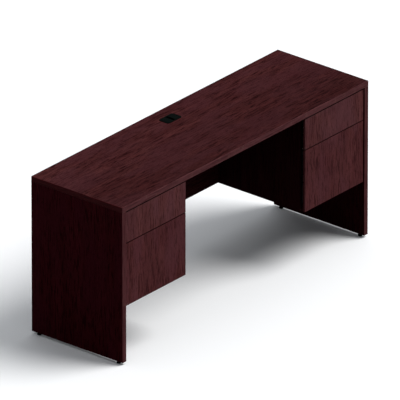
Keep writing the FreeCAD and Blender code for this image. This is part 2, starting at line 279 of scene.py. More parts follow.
def laminateBoard(name, node, axis, banded, look):
    # banded boards end at a glued edge strip; the others carry their band on their own rounded edge
    values = laminate
    finish = Finish(name)
    low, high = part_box(node)
    colour, clusters, flecks = laminateGrain(finish, axis, sheetShift(node), look)
    x, y, z = finish.margins(low, high)
    edge = x.least(y).most(x.most(y).least(z))  # distance to the nearest edge
    if banded:
        seam = finish.ramp(edge, values["seamWidth"], 0.0) * values["seamStrength"]
        colour = finish.mix(seam, colour, values["seam"])
    else:
        outer = values["bandWidth"]
        inner = outer + values["glueWidth"]
        glue = finish.ramp(edge, outer, outer + values["glueSoft"])
        glue = glue * finish.ramp(edge, inner + values["glueSoft"], inner) * values["glueStrength"]
        colour = finish.mix(glue, colour, values["seam"])
        chips = finish.ramp(finish.noise(finish.place, values["chipScale"], 3.0), *values["chipRange"])
        scuffs = finish.ramp(edge, *values["scuffReach"]) * chips * values["scuffStrength"]
        colour = finish.mix(scuffs, colour, values["scuff"])
    colour = finish.tinted(colour, look["tint"])
    placeX, placeY = finish.parts(finish.place)[:2]
    if "gapShadeTint" in look:  # painted shade: a front's top and bottom edges and thin lines along the top and bottom of its face are darkened, as the shade in the gaps round it and under the top or the front above, so that the joints read as dark lines
        gapShade = finish.ramp(z, *look["gapShadeReach"])
        gapShade = gapShade * finish.ramp(placeY, *(low.y + reach for reach in look["gapShadeStart"]))
        shadowLine = finish.ramp(z, look["shadowLine"] + look["shadowLineSoft"], look["shadowLine"])
        colour = finish.tintedWhere(gapShade.most(shadowLine), colour, look["gapShadeTint"])
    if "innerFaceShade" in look:  # painted shade: the inner face of a gable, darkened
        innerFace = min(abs(low.x), abs(high.x))
        inside = finish.ramp(abs(placeX), *(innerFace + reach for reach in look["innerFaceShadeReach"]))
        colour = finish.tintedWhere(inside, colour, look["innerFaceShade"])
    if "frontShade" in look:  # painted shade: the top, darkened towards its front and right
        colour = finish.tintedWhere(finish.ramp(placeY, high.y, low.y), colour, look["frontShade"])
        colour = finish.tintedWhere(finish.ramp(placeX, low.x, high.x), colour, look["rightShade"])
    smudge = finish.ramp(finish.noise(finish.place, values["smudgeScale"], 3.0), *values["smudgeRange"])
    roughness = values["gloss"] + flecks * values["fleckRough"] + clusters * values["clusterRough"]
    roughness = roughness + smudge * values["smudgeRough"]
    grit = finish.noise(finish.place, values["gritScale"], 1.0)
    relief = grit * values["gritHeight"] - flecks * values["fleckDepth"]
    finish.feed({"Base Color": colour, "Roughness": roughness, "Specular IOR Level": look["shine"]})
    finish.feed({"Normal": finish.bump(relief, values)})
    wear([node], finish.material)


# these tints were fitted to the photo board by board, so they hold part of its light and shade
topLook = {
    "tint": (0.95, 1.06, 0.95),
    # painted shade: the top darker towards its front and right
    "frontShade": (0.78, 0.72, 0.72),
    "rightShade": (0.91, 0.84, 0.84),
    "shine": 0.012,
    "streakLength": 0.072,
    "streakWidth": 0.0058,
    "depth": 1.40,
}
# painted shade: the left gable, which faces away from the lamp, darker and redder than the right one
shadedGableLook = {
    "tint": (0.92, 0.39, 0.58),
    "innerFaceShade": (0.55, 0.45, 0.45),
    "innerFaceShadeReach": (0.0003, 0.0001),
    "shine": 0.008,
    "streakLength": 0.072,
    "streakWidth": 0.0064,
    "depth": 1.35,
}
litGableLook = shadedGableLook | {"tint": (0.96, 0.92, 0.92), "innerFaceShade": (0.47, 0.18, 0.25)}
# painted shade: the case boards darker and redder
shadedCaseLook = {
    "tint": (0.50, 0.38, 0.40),
    "shine": 0.006,
    "streakLength": 0.080,
    "streakWidth": 0.0056,
    "depth": 1.10,
}
# painted shade on the fronts: their top and bottom edges and lines along their faces are darkened as the
# shade of the gaps
frontLook = {
    "gapShadeTint": (0.24, 0.02, 0.02),
    "gapShadeReach": (0.0022, 0.0008),
    "gapShadeStart": (0.0001, 0.0009),
    "shadowLineSoft": 0.0003,
    "streakLength": 0.072,
    "streakWidth": 0.0048,
}
# painted light: the drawer fronts lighter than the other boards, the box fronts most
litBoxFrontLook = frontLook | {"tint": (1.50, 1.87, 1.69), "shadowLine": 0.0017, "shine": 0.05, "depth": 1.15}
litFileFrontLook = frontLook | {"tint": (1.36, 1.48, 1.39), "shadowLine": 0.0003, "shine": 0.04, "depth": 1.35}
# painted shade: the modesty panel, case bottoms and top rails darker and redder
shadedModestyLook = {
    "tint": (0.60, 0.46, 0.48),
    "shine": 0.008,
    "streakLength": 0.060,
    "streakWidth": 0.0060,
    "depth": 1.10,
}

gableLooks = {"left_gable": shadedGableLook, "right_gable": litGableLook}
uprightBoards = [side + "_case_" + board for side in sides for board in ("outer_side", "inner_side", "back")]
levelBoards = [side + "_case_" + board for side in sides for board in ("bottom", "top_rails")]
laminateBoard("mahoganyTop", "top_panel", 0, True, topLook)
for node, look in gableLooks.items():
    laminateBoard("mahogany_" + node, node, 2, True, look)
for node in uprightBoards:
    laminateBoard("mahogany_" + node, node, 2, False, shadedCaseLook)
for drawer in drawers:
    node = drawer + "_front"
    laminateBoard("mahogany_" + node, node, 2, False, litBoxFrontLook if "box" in drawer else litFileFrontLook)
laminateBoard("mahogany_modesty_panel", "modesty_panel", 0, True, shadedModestyLook)
for node in levelBoards:
    laminateBoard("mahogany_" + node, node, 0, False, shadedModestyLook)
print("laminate boards finished")


# edge bands, whose grain follows each strip

band = {
    "base": srgb(77, 34, 36),
    "deep": srgb(63, 24, 26),
    "streak": srgb(42, 8, 11),
    "rub": srgb(100, 60, 56),
    "streakLength": 0.070,
    "streakWidth": 0.0040,
    "deepRange": (0.35, 0.65),
    "streakRange": (0.58, 0.70),
    "streakStrength": 0.6,
    "rubScale": 38.0,
    "rubRange": (0.56, 0.72),
    "rubStrength": 0.22,
    "rubRough": 0.16,
    "gloss": 0.36,
    "shine": 0.02,
    "gritScale": 1900.0,
    "reliefStrength": 0.18,
    "reliefDistance": 0.0001,
    "frontTint": (1.42, 2.02, 2.00),
    "uprightLitShare": 0.6,
    "sideShadeTint": (0.90, 0.39, 0.44),
    "hiddenShadeTint": (0.30, 0.14, 0.14),
    "hiddenShadeReach": (0.0004, 0.0001),
    "soft": 0.0002,
}


def edgeBandFinish():
    finish = Finish("mahoganyEdgeBand")
    x, y, z = finish.parts(finish.place)
    across = abs(x)
    topLow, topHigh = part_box("top_panel")
    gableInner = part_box("right_gable")[0].x
    soft = band["soft"]
    isTop = finish.ramp(z, topLow.z - soft, topLow.z + soft)
    inFront = finish.ramp(y, topLow.y + soft, topLow.y - soft / 2)
    behind = finish.ramp(y, topHigh.y - soft, topHigh.y + soft / 2)
    upright = finish.ramp(across, gableInner - soft, gableInner) * (1 - isTop)
    crosswise = isTop * (1 - inFront) * (1 - behind)
    lengthwise = (1 - upright) * (1 - crosswise)
    stretches = [along(axis, band["streakLength"], band["streakWidth"]) for axis in range(3)]
    fields = [finish.noise(finish.stretched(finish.place, stretch), detail=2.0) for stretch in stretches]
    streak = fields[0] * lengthwise + fields[1] * crosswise + fields[2] * upright
    colour = finish.mix(finish.ramp(streak, *band["deepRange"]), band["base"], band["deep"])
    dashes = finish.ramp(streak, *band["streakRange"]) * band["streakStrength"]
    colour = finish.mix(dashes, colour, band["streak"])
    rub = finish.ramp(finish.noise(finish.place, band["rubScale"], 4.0), *band["rubRange"])
    colour = finish.mix(rub * band["rubStrength"], colour, band["rub"])
    # painted light: the strips facing the front are lightened, those of the gables in part
    litStrips = finish.tinted(colour, band["frontTint"])
    facingUser = inFront * (isTop + upright * band["uprightLitShare"]).least(1.0)
    colour = finish.tintedWhere(isTop * (1 - inFront), colour, band["sideShadeTint"])  # painted shade: the top's end and back strips darker
    colour = finish.mix(facingUser, colour, litStrips)
    hiddenShade = upright * finish.ramp(across, *(gableInner + reach for reach in band["hiddenShadeReach"]))
    colour = finish.tintedWhere(hiddenShade, colour, band["hiddenShadeTint"])  # painted shade: the gable strips darker towards the drawers
    grit = finish.noise(finish.place, band["gritScale"], 1.0)
    roughness = band["gloss"] + rub * band["rubRough"]
    finish.feed({"Base Color": colour, "Roughness": roughness, "Specular IOR Level": band["shine"]})
    finish.feed({"Normal": finish.bump(grit, band)})
    return finish.material


wear(["edge_bands"], edgeBandFinish())
print("edge bands finished")


# plain finishes: drawer board, steel, aluminium, zinc, plastic and beech

drawerBoard = {
    "base": srgb(52, 52, 54),
    "speck": srgb(74, 74, 76),
    "dust": srgb(96, 95, 93),
    "weaveScale": (900.0, 260.0, 900.0),
    "speckRange": (0.45, 0.70),
    "speckStrength": 0.6,
    "cloudScale": 14.0,
    "cloudRough": 0.12,
    "dustRange": (0.55, 0.80),
    "dustStrength": 0.25,
    "gloss": 0.52,
    "shine": 0.35,
    "reliefStrength": 0.25,
    "reliefDistance": 0.00012,
}


def drawerBoardFinish():
    values = drawerBoard
    finish = Finish("charcoalDrawerBoard")
    weave = finish.noise(finish.stretched(finish.place, values["weaveScale"]), detail=2.0)
    cloud = finish.noise(finish.place, values["cloudScale"], 4.0)
    specks = finish.ramp(weave, *values["speckRange"]) * values["speckStrength"]
    dust = finish.ramp(cloud, *values["dustRange"]) * values["dustStrength"]
    colour = finish.mix(dust, finish.mix(specks, values["base"], values["speck"]), values["dust"])
    roughness = values["gloss"] + cloud * values["cloudRough"]
    finish.feed({"Base Color": colour, "Roughness": roughness, "Specular IOR Level": values["shine"]})
    finish.feed({"Normal": finish.bump(weave, values)})
    return finish.material


drawnMetal = {
    "hairLength": 0.11,
    "hairWidth": 0.00045,
    "hairRange": (0.52, 0.75),
    "hairStrength": 0.35,
    "hairRough": 0.16,
    "cloudScale": 22.0,
    "cloudRange": (0.40, 0.75),
    "cloudStrength": 0.7,
    "hazeRange": (0.4, 0.8),
    "hazeRough": 0.12,
    "reliefStrength": 0.12,
    "reliefDistance": 0.00008,
}
slideSteel = drawnMetal | {"base": srgb(178, 180, 182), "tarnish": srgb(140, 142, 146), "gloss": 0.26}
railAluminium = drawnMetal | {"base": srgb(186, 187, 188), "tarnish": srgb(158, 160, 162), "gloss": 0.30}


def drawnMetalFinish(name, values, axis):
    # drawn or rolled metal: hairlines along one axis, with cloudy tarnish
    finish = Finish(name)
    stretch = along(axis, values["hairLength"], values["hairWidth"])
    hair = finish.noise(finish.stretched(finish.place, stretch), detail=3.0)
    cloud = finish.noise(finish.place, values["cloudScale"], 4.0)
    tarnish = finish.ramp(cloud, *values["cloudRange"]) * values["cloudStrength"]
    scratches = finish.ramp(hair, *values["hairRange"]) * values["hairStrength"]
    colour = finish.mix(tarnish, values["base"], values["tarnish"])
    colour = finish.mix(scratches, colour, values["tarnish"])
    haze = finish.ramp(cloud, *values["hazeRange"]) * values["hazeRough"]
    roughness = values["gloss"] + hair * values["hairRough"] + haze
    finish.feed({"Base Color": colour, "Metallic": 1.0, "Roughness": roughness})
    finish.feed({"Normal": finish.bump(hair, values)})
    return finish.material


zincFitting = {
    "base": srgb(168, 168, 164),
    "tarnish": srgb(120, 120, 118),
    "castScale": 620.0,
    "castRough": 0.22,
    "cloudScale": 60.0,
    "cloudRange": (0.40, 0.70),
    "cloudStrength": 0.8,
    "gloss": 0.34,
    "reliefStrength": 0.22,
    "reliefDistance": 0.00015,
}


def castZincFinish():
    values = zincFitting
    finish = Finish("zincFitting")
    cast = finish.noise(finish.place, values["castScale"], 3.0)
    cloud = finish.noise(finish.place, values["cloudScale"], 3.0)
    tarnish = finish.ramp(cloud, *values["cloudRange"]) * values["cloudStrength"]
    colour = finish.mix(tarnish, values["base"], values["tarnish"])
    roughness = values["gloss"] + cast * values["castRough"]
    finish.feed({"Base Color": colour, "Metallic": 1.0, "Roughness": roughness})
    finish.feed({"Normal": finish.bump(cast, values)})
    return finish.material


blackPlastic = {
    "base": srgb(5, 10, 8),
    "worn": srgb(12, 18, 16),
    "sparkScale": 1500.0,
    "sparkRough": 0.18,
    "cloudScale": 70.0,
    "wornRange": (0.52, 0.75),
    "wornStrength": 0.35,
    "wornRough": 0.08,
    "gloss": 0.42,
    "shine": 0.006,
    "reliefStrength": 0.30,
    "reliefDistance": 0.00012,
}


def blackPlasticFinish():
    values = blackPlastic
    finish = Finish("mouldedBlackPlastic")
    spark = finish.noise(finish.place, values["sparkScale"], 2.0)
    worn = finish.ramp(finish.noise(finish.place, values["cloudScale"], 3.0), *values["wornRange"])
    colour = finish.mix(worn * values["wornStrength"], values["base"], values["worn"])
    roughness = values["gloss"] + spark * values["sparkRough"] + worn * values["wornRough"]
    finish.feed({"Base Color": colour, "Roughness": roughness, "Specular IOR Level": values["shine"]})
    finish.feed({"Normal": finish.bump(spark, values)})
    return finish.material


beech = {
    "base": srgb(205, 170, 122),
    "fleck": srgb(160, 116, 72),
    "fleckLength": 0.004,
    "fleckWidth": 0.0006,
    "fleckRange": (0.5, 0.7),
    "fleckRough": 0.2,
    "gloss": 0.6,
    "reliefStrength": 0.3,
    "reliefDistance": 0.0002,
}


def beechFinish():
    finish = Finish("beechDowel")
    stretch = along(2, beech["fleckLength"], beech["fleckWidth"])
    fleck = finish.noise(finish.stretched(finish.place, stretch), detail=2.0)
    colour = finish.mix(finish.ramp(fleck, *beech["fleckRange"]), beech["base"], beech["fleck"])
    roughness = beech["gloss"] + fleck * beech["fleckRough"]
    finish.feed({"Base Color": colour, "Roughness": roughness, "Normal": finish.bump(fleck, beech)})
    return finish.material


steel = drawnMetalFinish("zincPlatedSlideSteel", slideSteel, 1)
aluminium = drawnMetalFinish("brushedRailAluminium", railAluminium, 1)
zinc = castZincFinish()
plastic = blackPlasticFinish()
drawerBoxes = [drawer + piece for drawer in drawers for piece in ("_box_sides", "_box_ends", "_bottom")]
movingSlides = [drawer + piece for drawer in drawers for piece in ("_slide_inners", "_slide_middles")]
wear(drawerBoxes, drawerBoardFinish())
wear(movingSlides + [side + "_slide_outers" for side in sides], steel)
wear([side + "_file_drawer_hanging_rails" for side in sides], aluminium)
wear(["cam_discs", "cam_bolts", "slide_screws", "case_screws", "glide_inserts"], zinc)
wear([drawer + "_screws" for drawer in drawers], zinc)
wear(["grommet_liner"] + [side + "_grommet_flap" for side in sides] + glides, plastic)
wear(["dowels"], beechFinish())
print("plain finishes done")


# modelling helpers: faces and edges are picked by place or normal, then worked with the edit-mode tools

weldReach = 0.000001
samePlace = 0.00001
closeBy = 0.0001
alongAxis = 0.9  # the share of a direction along an axis from which it counts as along it
flatFace = 0.99
squareTo = 0.1
smoothAngle = 32.0


def only(*pieces):
    bpy.ops.object.select_all(action="DESELECT")
    for piece in pieces:
        piece.select_set(True)
    bpy.context.view_layer.objects.active = pieces[0]


def start(addPrimitive, **sizes):
    # a new primitive as the one selected object, open in edit mode
    bpy.ops.object.select_all(action="DESELECT")
    addPrimitive(**sizes)
    bpy.ops.object.mode_set(mode="EDIT")
    return bpy.context.object


def clearPick(piece, vertices, edges, faces):
    bpy.ops.object.mode_set(mode="OBJECT")
    mesh = piece.data
    for group in (mesh.vertices, mesh.edges, mesh.polygons):
        group.foreach_set("select", [False] * len(group))
    bpy.context.tool_settings.mesh_select_mode = (vertices, edges, faces)
    return mesh


def pickFaces(piece, test):
    mesh = clearPick(piece, False, False, True)
    for face in mesh.polygons:
        face.select = test(face.center, face.normal)
    bpy.ops.object.mode_set(mode="EDIT")


def pickEdges(piece, test):
    mesh = clearPick(piece, False, True, False)
    for edge in mesh.edges:
        ends = [mesh.vertices[place].co for place in edge.vertices]
        edge.select = test((ends[0] + ends[1]) / 2, (ends[1] - ends[0]).normalized())
    bpy.ops.object.mode_set(mode="EDIT")


def pull(x, y, z):
    bpy.ops.mesh.extrude_region_move(TRANSFORM_OT_translate={"value": (x, y, z)})


def pullRings(centre, rings):
    # draws the picked face along through a list of (radius, height)
    for (radius, height), (nextRadius, nextHeight) in zip(rings, rings[1:]):
        pull(0.0, 0.0, nextHeight - height)
        share = nextRadius / radius
        middle = (centre[0], centre[1], nextHeight)
        bpy.ops.transform.resize(value=(share, share, 1.0), center_override=middle)


def stretchedCube(low, high):
    # a cube drawn out between two corners, its place in its mesh
    middle = (Vector(low) + Vector(high)) / 2
    size = Vector(high) - Vector(low)
    cube = start(bpy.ops.mesh.primitive_cube_add, size=1.0, location=middle)
    bpy.ops.transform.resize(value=size, center_override=middle)
    bpy.ops.object.mode_set(mode="OBJECT")
    bpy.ops.object.transform_apply(location=True, rotation=True, scale=True)
    return cube


def joined(pieces):
    only(*pieces)
    if len(pieces) > 1:
        bpy.ops.object.join()
    return bpy.context.object


def placed(master, seats):
    # a copy of the master at each (point, way its own Z faces), all joined
    copies = []
    for point, way in seats:
        copy = master.copy()
        copy.data = master.data.copy()
        bpy.context.scene.collection.objects.link(copy)
        copy.location = point
        copy.rotation_euler = Vector(way).to_track_quat("Z", "Y").to_euler()
        copies.append(copy)
    return joined(copies)


def finished(piece, name, body, material, replaced=()):
    only(piece)
    bpy.ops.object.transform_apply(location=True, rotation=True, scale=True)
    bpy.context.tool_settings.mesh_select_mode = (True, False, False)
    bpy.ops.object.mode_set(mode="EDIT")
    bpy.ops.mesh.select_all(action="SELECT")
    bpy.ops.mesh.remove_doubles(threshold=weldReach)
    bpy.ops.mesh.normals_make_consistent(inside=False)
    bpy.ops.object.mode_set(mode="OBJECT")
    bpy.ops.object.shade_smooth_by_angle(angle=math.radians(smoothAngle))
    piece.name = piece.data.name = name
    piece.data.materials.clear()
    piece.data.materials.append(material)
    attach(piece, body)
    if replaced:
        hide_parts(*replaced)


# levelling glides: a moulded foot with a fluted grip, on a threaded stem

glideFoot = {
    "sides": 48,
    "rings": ((0.0084, 0.0), (0.0096, 0.0004), (0.0100, 0.0013), (0.0100, 0.0047), (0.0097, 0.0052),
              (0.0073, 0.0078), (0.0070, 0.0085), (0.0070, 0.0112)),
    "fluteDepth": 0.0006,
    "fluteMargin": 0.00015,
}
glideStem = {"length": 0.028, "crest": 0.0040, "root": 0.0034, "pitch": 0.00125, "sides": 24}


def glideFootMesh(centre):
    values = glideFoot
    radius = values["rings"][0][0]
    foot = start(bpy.ops.mesh.primitive_circle_add, vertices=values["sides"], radius=radius,
                 fill_type="NGON", location=(centre.x, centre.y, 0.0))
    pullRings(centre, values["rings"])
    turn = 2 * math.pi / values["sides"]
    low, high = values["rings"][2][1], values["rings"][3][1]

    def everyOther(middle, normal):
        count = math.floor(math.atan2(middle.y, middle.x) / turn)
        return abs(normal.z) < squareTo and low < middle.z < high and count % 2 == 0

    pickFaces(foot, everyOther)
    bpy.ops.mesh.inset(thickness=values["fluteMargin"], depth=-values["fluteDepth"], use_individual=True)
    bpy.ops.object.mode_set(mode="OBJECT")
    return foot


def threadedRod(centre, low, high, values):
    crest, root, pitch = values["crest"], values["root"], values["pitch"]
    bpy.context.tool_settings.mesh_select_mode = (True, False, False)
    rod = start(bpy.ops.mesh.primitive_plane_add, size=pitch, location=(centre.x, centre.y, low - pitch))
    bpy.ops.mesh.merge(type="CENTER")
    bpy.ops.transform.translate(value=(crest, 0.0, 0.0))
    for inward in (root - crest, crest - root):
        bpy.ops.mesh.extrude_vertices_move(TRANSFORM_OT_translate={"value": (inward, 0.0, pitch / 2)})
    bpy.ops.object.mode_set(mode="OBJECT")
    thread = rod.modifiers.new("thread", "SCREW")
    thread.screw_offset = pitch
    thread.iterations = math.ceil((high - low) / pitch) + 2
    thread.steps = thread.render_steps = values["sides"]
    bpy.ops.object.modifier_apply(modifier="thread")
    bpy.ops.object.mode_set(mode="EDIT")
    for height, above in ((low, True), (high, False)):
        bpy.ops.mesh.select_all(action="SELECT")
        bpy.ops.mesh.remove_doubles(threshold=samePlace)
        bpy.ops.mesh.bisect(plane_co=(centre.x, centre.y, height), plane_no=(0.0, 0.0, 1.0), use_fill=True,
                            clear_inner=above, clear_outer=not above)
    bpy.ops.object.mode_set(mode="OBJECT")
    return rod


shoulder = glideFoot["rings"][-1][1]
for node in glides:
    low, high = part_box(node)
    centre = (low + high) / 2
    finished(glideFootMesh(centre), node + "_foot", node, plastic, [node])
    stem = threadedRod(centre, shoulder, shoulder + glideStem["length"], glideStem)
    finished(stem, node + "_stem", node, zinc)
print("glides modelled")


# grommet flaps: a hollow leaf with a rolled hinge edge, a framed top and two pins

flapLeaf = {
    "roll": 0.00145,
    "rollSegments": 5,
    "rollReach": 0.0025,
    "softEdge": 0.00035,
    "softSegments": 2,
    "frame": 0.0026,
    "groove": 0.0005,
    "grooveDepth": 0.0004,
    "wall": 0.0016,
    "hollow": 0.0013,
    "pinRadius": 0.0010,
    "pinLength": 0.0018,
    "pinSides": 16,
    "pinRim": 0.3,
}


def flapMesh(low, high, hingeUp):
    # hingeUp is 1 where the hinge is at the higher x, and -1 where it is at the lower
    values = flapLeaf
    leafLow = Vector((low.x, low.y + values["pinLength"], low.z))
    leafHigh = Vector((high.x, high.y - values["pinLength"], high.z))
    leaf = stretchedCube(leafLow, leafHigh)
    hingeEnd = high.x if hingeUp > 0 else low.x

    def onHinge(middle, way):
        return abs(way.y) > alongAxis and abs(middle.x - hingeEnd) < closeBy

    def onFreeRim(middle, way):
        clear = abs(middle.x - hingeEnd) > values["rollReach"]
        return clear and abs(middle.z - high.z) < samePlace and abs(way.z) < squareTo

    pickEdges(leaf, onHinge)
    bpy.ops.mesh.bevel(offset=values["roll"], segments=values["rollSegments"], affect="EDGES")
    pickEdges(leaf, onFreeRim)
    bpy.ops.mesh.bevel(offset=values["softEdge"], segments=values["softSegments"], affect="EDGES")
    pickFaces(leaf, lambda middle, normal: normal.z > flatFace)
    bpy.ops.mesh.inset(thickness=values["frame"])
    bpy.ops.mesh.inset(thickness=values["groove"] / 2, depth=-values["grooveDepth"])
    bpy.ops.mesh.inset(thickness=values["groove"] / 2, depth=values["grooveDepth"])
    pickFaces(leaf, lambda middle, normal: normal.z < -flatFace)
    bpy.ops.mesh.inset(thickness=values["wall"])
    bpy.ops.mesh.inset(thickness=values["softEdge"], depth=-values["hollow"])
    bpy.ops.object.mode_set(mode="OBJECT")
    parts = [leaf]
    hinge = hingeEnd - hingeUp * (high.z - low.z) / 2
    for end, outward in ((low.y, -1), (high.y, 1)):
        middle = (hinge, end - outward * values["pinLength"] / 2, (low.z + high.z) / 2)
        pin = start(bpy.ops.mesh.primitive_cylinder_add, vertices=values["pinSides"],
                    radius=values["pinRadius"], depth=values["pinLength"],
                    location=middle, rotation=(math.pi / 2, 0.0, 0.0))
        pickFaces(pin, lambda place, normal: normal.z * outward < -alongAxis)
        bpy.ops.mesh.inset(thickness=values["pinRadius"] * values["pinRim"], depth=0.0)
        bpy.ops.object.mode_set(mode="OBJECT")
        bpy.ops.object.transform_apply(location=True, rotation=True, scale=True)
        parts.append(pin)
    return joined(parts)


for side in sides:
    node = side + "_grommet_flap"
    low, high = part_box(node)
    leaf = flapMesh(low, high, 1 if side == "right" else -1)
    finished(leaf, node + "_leaf", node, plastic, [node])
print("grommet flaps modelled")


# screws with a cross recess, at the seats of the plain ones

screwShape = {
    "sides": 16,
    "crown": ((1.0, 0.0), (1.0, 0.42), (0.93, 0.66), (0.75, 0.88), (0.50, 1.0)),
    "rimShare": 0.98,
    "pitch": 0.0016,
    "rootShare": 0.74,
    "tipShare": 0.18,
    "tipLength": 1.5,  # in shank radii
    "armShare": 1.15,
    "slotShare": 0.26,
    "recessShare": 0.62,
    "recessTaper": 0.6,
}


def screwSeats(node):
    # where each screw of a CAD node sits: head and shank sizes, seat under the head, way the head faces
    only(nodes[node])
    bpy.ops.object.duplicate()
    bpy.context.tool_settings.mesh_select_mode = (True, False, False)
    bpy.ops.object.mode_set(mode="EDIT")
    bpy.ops.mesh.select_all(action="SELECT")
    bpy.ops.mesh.remove_doubles(threshold=weldReach)
    bpy.ops.mesh.separate(type="LOOSE")
    bpy.ops.object.mode_set(mode="OBJECT")
    seats = []
    for part in list(bpy.context.selected_objects):
        points = [vertex.co.copy() for vertex in part.data.vertices]
        bpy.data.objects.remove(part)
        low = Vector(min(point[axis] for point in points) for axis in range(3))
        high = Vector(max(point[axis] for point in points) for axis in range(3))
        middle, size = (low + high) / 2, high - low
        axis = max(range(3), key=lambda place: size[place])
        headRadius = max(size[place] for place in range(3) if place != axis) / 2

        def radius(point):
            return math.hypot(*(point[place] - middle[place] for place in range(3) if place != axis))

        lowRadius = max(radius(point) for point in points if point[axis] - low[axis] < closeBy)
        highRadius = max(radius(point) for point in points if high[axis] - point[axis] < closeBy)
        faces = 1 if highRadius > lowRadius else -1
        way = Vector(faces if place == axis else 0 for place in range(3))
        rim = [point[axis] for point in points if radius(point) > headRadius * screwShape["rimShare"]]
        seatAt = min(rim) if faces > 0 else max(rim)
        seat = middle.copy()
        seat[axis] = seatAt
        headHeight = (high[axis] - seatAt) if faces > 0 else (seatAt - low[axis])
        sizes = (headRadius, headHeight, min(lowRadius, highRadius), size[axis] - headHeight)
        seats.append((tuple(round(value, 5) for value in sizes), (seat, way)))
    return seats


def crossScrew(headRadius, headHeight, shankRadius, length):
    values = screwShape
    screw = start(bpy.ops.mesh.primitive_circle_add, vertices=values["sides"], radius=headRadius,
                  fill_type="NGON", location=(0.0, 0.0, 0.0))
    pullRings((0.0, 0.0), [(headRadius * share, headHeight * rise) for share, rise in values["crown"]])
    pickFaces(screw, lambda middle, normal: abs(middle.z) < samePlace and abs(normal.z) > alongAxis)
    bpy.ops.mesh.inset(thickness=headRadius - shankRadius)
    pitch, root = values["pitch"], shankRadius * values["rootShare"]
    depth = -pitch
    rings = [(shankRadius, 0.0), (shankRadius, depth)]
    while depth - pitch > values["tipLength"] * shankRadius - length:
        rings += [(root, depth - pitch / 2), (shankRadius, depth - pitch)]
        depth -= pitch
    pullRings((0.0, 0.0), rings + [(shankRadius * values["tipShare"], -length)])
    bpy.ops.object.mode_set(mode="OBJECT")

    width, arm = headRadius * values["slotShare"], headRadius * values["armShare"]
    deep = headHeight * values["recessShare"]
    half, reach = width / 2, (arm - width) / 2
    cutter = stretchedCube((-half, -half, headHeight - deep), (half, half, headHeight + deep))
    for x, y in ((1, 0), (-1, 0), (0, 1), (0, -1)):
        pickFaces(cutter, lambda middle, normal: normal.x * x + normal.y * y > alongAxis)
        pull(x * reach, y * reach, 0.0)
    pickFaces(cutter, lambda middle, normal: normal.z < -alongAxis)
    taper = values["recessTaper"]
    bpy.ops.transform.resize(value=(taper, taper, 1.0), center_override=(0.0, 0.0, headHeight - deep))
    bpy.ops.object.mode_set(mode="OBJECT")
    recess = screw.modifiers.new("recess", "BOOLEAN")
    recess.operation = "DIFFERENCE"
    recess.solver = "EXACT"
    recess.object = cutter
    only(screw)
    bpy.ops.object.modifier_apply(modifier="recess")
    bpy.data.objects.remove(cutter)
    return screw


screwMasters = {}
screwNodes = [("slide_screws", "carcass"), ("case_screws", "carcass")]
screwNodes += [(drawer + "_screws", drawer) for drawer in drawers]
for node, body in screwNodes:
    bySize = {}
    for sizes, seat in screwSeats(node):
        bySize.setdefault(sizes, []).append(seat)
    sets = []
    for sizes in sorted(bySize):
        if sizes not in screwMasters:
            screwMasters[sizes] = crossScrew(*sizes)
        sets.append(placed(screwMasters[sizes], bySize[sizes]))
    finished(joined(sets), node + "_crossHead", body, zinc, [node])
for master in screwMasters.values():
    bpy.data.objects.remove(master)
print("screws modelled:", len(screwMasters), "sizes")


# black end caps on the slide members

slideCap = {
    "gauge": 0.0015,
    "length": 0.0016,
    "softEdge": 0.0003,
    "rowGap": 0.01,
    "outers": (0.0, 0.0090, 0.0225),  # web and rim as distances from the case wall, and half the height
    "middles": (0.0035, 0.0107, 0.0207),
    "inners": (0.0127, 0.0070, 0.0189),
}


def capMesh(wall, inward, member, centre, front):
    # a C of the member's own section
    web, rim, half = slideCap[member]
    gauge = slideCap["gauge"]
    fold = web + gauge if rim > web else web - gauge
    xs = sorted((wall + inward * web, wall + inward * fold))
    cap = stretchedCube((xs[0], front - slideCap["length"], centre - half), (xs[1], front, centre + half))
    bpy.ops.object.mode_set(mode="EDIT")
    for height in (centre - half + gauge, centre + half - gauge):
        bpy.ops.mesh.select_all(action="SELECT")
        bpy.ops.mesh.bisect(plane_co=(0.0, 0.0, height), plane_no=(0.0, 0.0, 1.0))
    towards = inward if rim > web else -inward

    def onLips(middle, normal):
        return normal.x * towards > alongAxis and abs(middle.z - centre) > half - gauge

    pickFaces(cap, onLips)
    pull(towards * abs(rim - fold), 0.0, 0.0)
    pickEdges(cap, lambda middle, way: abs(middle.y - front + slideCap["length"]) < samePlace)
    bpy.ops.mesh.bevel(offset=slideCap["softEdge"], segments=1, affect="EDGES")
    bpy.ops.object.mode_set(mode="OBJECT")
    return cap


def memberCaps(node, member):
    # one cap for each member in a CAD node, from the box of each pair
    low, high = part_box(node)
    web, rim, half = slideCap[member]
    sign = 1 if low.x > 0 else -1
    nearWall, farWall = (low.x, high.x) if sign > 0 else (high.x, low.x)
    offset = min(web, rim)
    walls = ((nearWall - sign * offset, sign), (farWall + sign * offset, -sign))
    heights = [low.z + half, high.z - half]
    if heights[1] - heights[0] < slideCap["rowGap"]:
        heights = heights[:1]
    seats = [(wall, inward, height) for wall, inward in walls for height in heights]
    return joined([capMesh(wall, inward, member, height, low.y) for wall, inward, height in seats])


for side in sides:
    node = side + "_slide_outers"
    finished(memberCaps(node, "outers"), node + "_caps", "carcass", plastic)
for drawer in drawers:
    inners = drawer + "_slide_inners"
    finished(memberCaps(inners, "inners"), inners + "_caps", drawer, plastic)
    middles = drawer + "_slide_middles"
    finished(memberCaps(middles, "middles"), middles + "_caps", drawer + "_slides", plastic)
print("slide caps modelled")


# soft bumpers behind the drawer fronts

bumper = {
    "radius": 0.0036,
    "height": 0.0016,
    "dome": ((1.0, 0.0), (1.0, 0.30), (0.92, 0.62), (0.70, 0.88), (0.40, 1.0)),
    "fromEdge": 0.0048,
    "fromEnd": 0.016,
    "sides": 20,
}


